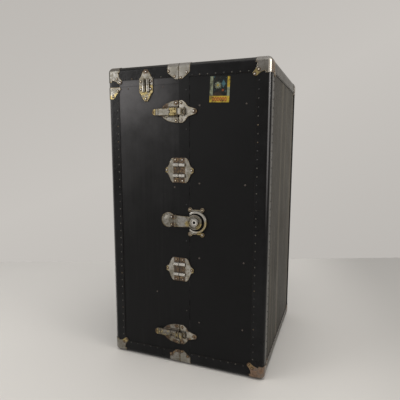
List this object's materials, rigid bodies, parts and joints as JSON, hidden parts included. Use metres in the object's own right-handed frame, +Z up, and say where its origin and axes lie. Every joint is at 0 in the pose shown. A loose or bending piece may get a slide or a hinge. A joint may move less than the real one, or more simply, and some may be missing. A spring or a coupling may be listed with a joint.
{
  "type": "steamer trunk",
  "caption": "Upright wardrobe steamer trunk with riveted black covering, metal corners, draw bolts, hasp lock, lift-up lid, hanging side and chest of drawers.",
  "frame": {"origin": "under the middle of the closed trunk, on the floor", "axes": "+Z up, +Y from the front with the locks to the back with the hinges, +X to the drawer side"},
  "size_m": [0.5642, 0.5774, 1.016],
  "materials": {
    "covered_board": "painted cloth over plywood, dull black",
    "fibre_binding": "black vulcanised fibre, slightly shiny",
    "paper_lining": "patterned paper lining, faded",
    "batten": "varnished hardwood",
    "drawer_wood": "varnished plywood",
    "hanger_wood": "varnished beech",
    "aged_nickel": "worn nickel plate, yellowed and rusted at the edges",
    "rail_steel": "dull plated steel",
    "lock_brass": "aged brass"
  },
  "bodies": {
    "right_half": {"right_front_panel": "covered_board", "right_back_panel": "covered_board", "right_side_panel": "covered_board", "right_top_panel": "covered_board", "right_bottom_panel": "covered_board", "right_seam_strip": "fibre_binding", "right_edge_binding": "fibre_binding", "right_rim_tongue": "batten", "right_lining": "paper_lining", "right_corner_caps": "aged_nickel", "right_seam_clamps": "aged_nickel", "rear_hinge_leaves_right": "aged_nickel", "rear_hinge_pins": "aged_nickel", "dowel_plates_right": "aged_nickel", "draw_catches": "aged_nickel", "lock_keeper": "aged_nickel", "chest_sides": "drawer_wood", "chest_shelves": "drawer_wood"},
    "left_half": {"left_front_panel": "covered_board", "left_back_panel": "covered_board", "left_side_panel": "covered_board", "left_bottom_panel": "covered_board", "left_edge_binding": "fibre_binding", "left_lining": "paper_lining", "left_corner_caps": "aged_nickel", "left_seam_clamps": "aged_nickel", "left_rim_clamps": "aged_nickel", "rear_hinge_leaves_left": "aged_nickel", "lid_hinge_leaves_lower": "aged_nickel", "left_fitting_pins": "aged_nickel", "dowel_plates_left": "aged_nickel", "lid_dowel_socket": "aged_nickel", "draw_bases": "aged_nickel", "hasp_plate": "aged_nickel", "trolley_rails": "rail_steel"},
    "lid": {"lid_top_panel": "covered_board", "lid_boards": "covered_board", "lid_edge_binding": "fibre_binding", "lid_lining": "paper_lining", "lid_corner_caps": "aged_nickel", "lid_seam_clamps": "aged_nickel", "lid_hinge_leaves_upper": "aged_nickel", "lid_dowel_plate": "aged_nickel"},
    "hasp": {"hasp": "aged_nickel"},
    "lock_cylinder": {"lock_cylinder": "lock_brass"},
    "draw_lever_top": {"draw_lever_top": "aged_nickel"},
    "draw_lever_bottom": {"draw_lever_bottom": "aged_nickel"},
    "draw_link_top": {"draw_link_top": "aged_nickel"},
    "draw_link_bottom": {"draw_link_bottom": "aged_nickel"},
    "hanger_trolley": {"hanger_trolley": "rail_steel", "garment_hangers": "hanger_wood", "hanger_hooks": "rail_steel"},
    "drawer_1": {"drawer_1": "drawer_wood", "drawer_1_knobs": "lock_brass"},
    "drawer_2": {"drawer_2": "drawer_wood", "drawer_2_knobs": "lock_brass"},
    "drawer_3": {"drawer_3": "drawer_wood", "drawer_3_knobs": "lock_brass"},
    "drawer_4": {"drawer_4": "drawer_wood", "drawer_4_knobs": "lock_brass"}
  },
  "joints": [
    {"name": "trunk_swing", "type": "hinge", "parent": "right_half", "child": "left_half", "pos_m": [-0.015, 0.2824, 0.508], "axis": [0, 0, -1], "range_deg": [0, 175]},
    {"name": "lid_lift", "type": "hinge", "parent": "left_half", "child": "lid", "pos_m": [-0.2808, 0, 0.9507], "axis": [0, -1, 0], "range_deg": [0, 100]},
    {"name": "hasp_swing", "type": "hinge", "parent": "left_half", "child": "hasp", "pos_m": [-0.029, -0.2814, 0.509], "axis": [0, 0, -1], "range_deg": [0, 120]},
    {"name": "lock_turn", "type": "hinge", "parent": "hasp", "child": "lock_cylinder", "pos_m": [0.041, -0.285, 0.509], "axis": [0, 1, 0], "range_deg": [0, 90]},
    {"name": "trolley_slide", "type": "slide", "parent": "left_half", "child": "hanger_trolley", "axis": [1, 0, 0], "range_m": [0, 0.15]},
    {"name": "draw_lever_top", "type": "hinge", "parent": "left_half", "child": "draw_lever_top", "pos_m": [-0.02, -0.284, 0.864], "axis": [0, 0, 1], "range_deg": [0, 120]},
    {"name": "draw_link_top", "type": "hinge", "parent": "draw_lever_top", "child": "draw_link_top", "pos_m": [-0.037, -0.288, 0.864], "axis": [0, 0, 1], "range_deg": [-150, 0]},
    {"name": "draw_lever_bottom", "type": "hinge", "parent": "left_half", "child": "draw_lever_bottom", "pos_m": [-0.02, -0.284, 0.11], "axis": [0, 0, 1], "range_deg": [0, 120]},
    {"name": "draw_link_bottom", "type": "hinge", "parent": "draw_lever_bottom", "child": "draw_link_bottom", "pos_m": [-0.037, -0.288, 0.11], "axis": [0, 0, 1], "range_deg": [-150, 0]},
    {"name": "drawer_1_slide", "type": "slide", "parent": "right_half", "child": "drawer_1", "axis": [-1, 0, 0], "range_m": [0, 0.17]},
    {"name": "drawer_2_slide", "type": "slide", "parent": "right_half", "child": "drawer_2", "axis": [-1, 0, 0], "range_m": [0, 0.17]},
    {"name": "drawer_3_slide", "type": "slide", "parent": "right_half", "child": "drawer_3", "axis": [-1, 0, 0], "range_m": [0, 0.17]},
    {"name": "drawer_4_slide", "type": "slide", "parent": "right_half", "child": "drawer_4", "axis": [-1, 0, 0], "range_m": [0, 0.17]}
  ],
  "couplings": [
    {"joint": "draw_link_top", "follows": "draw_lever_top", "ratio": -1.25},
    {"joint": "draw_link_bottom", "follows": "draw_lever_bottom", "ratio": -1.25}
  ]
}
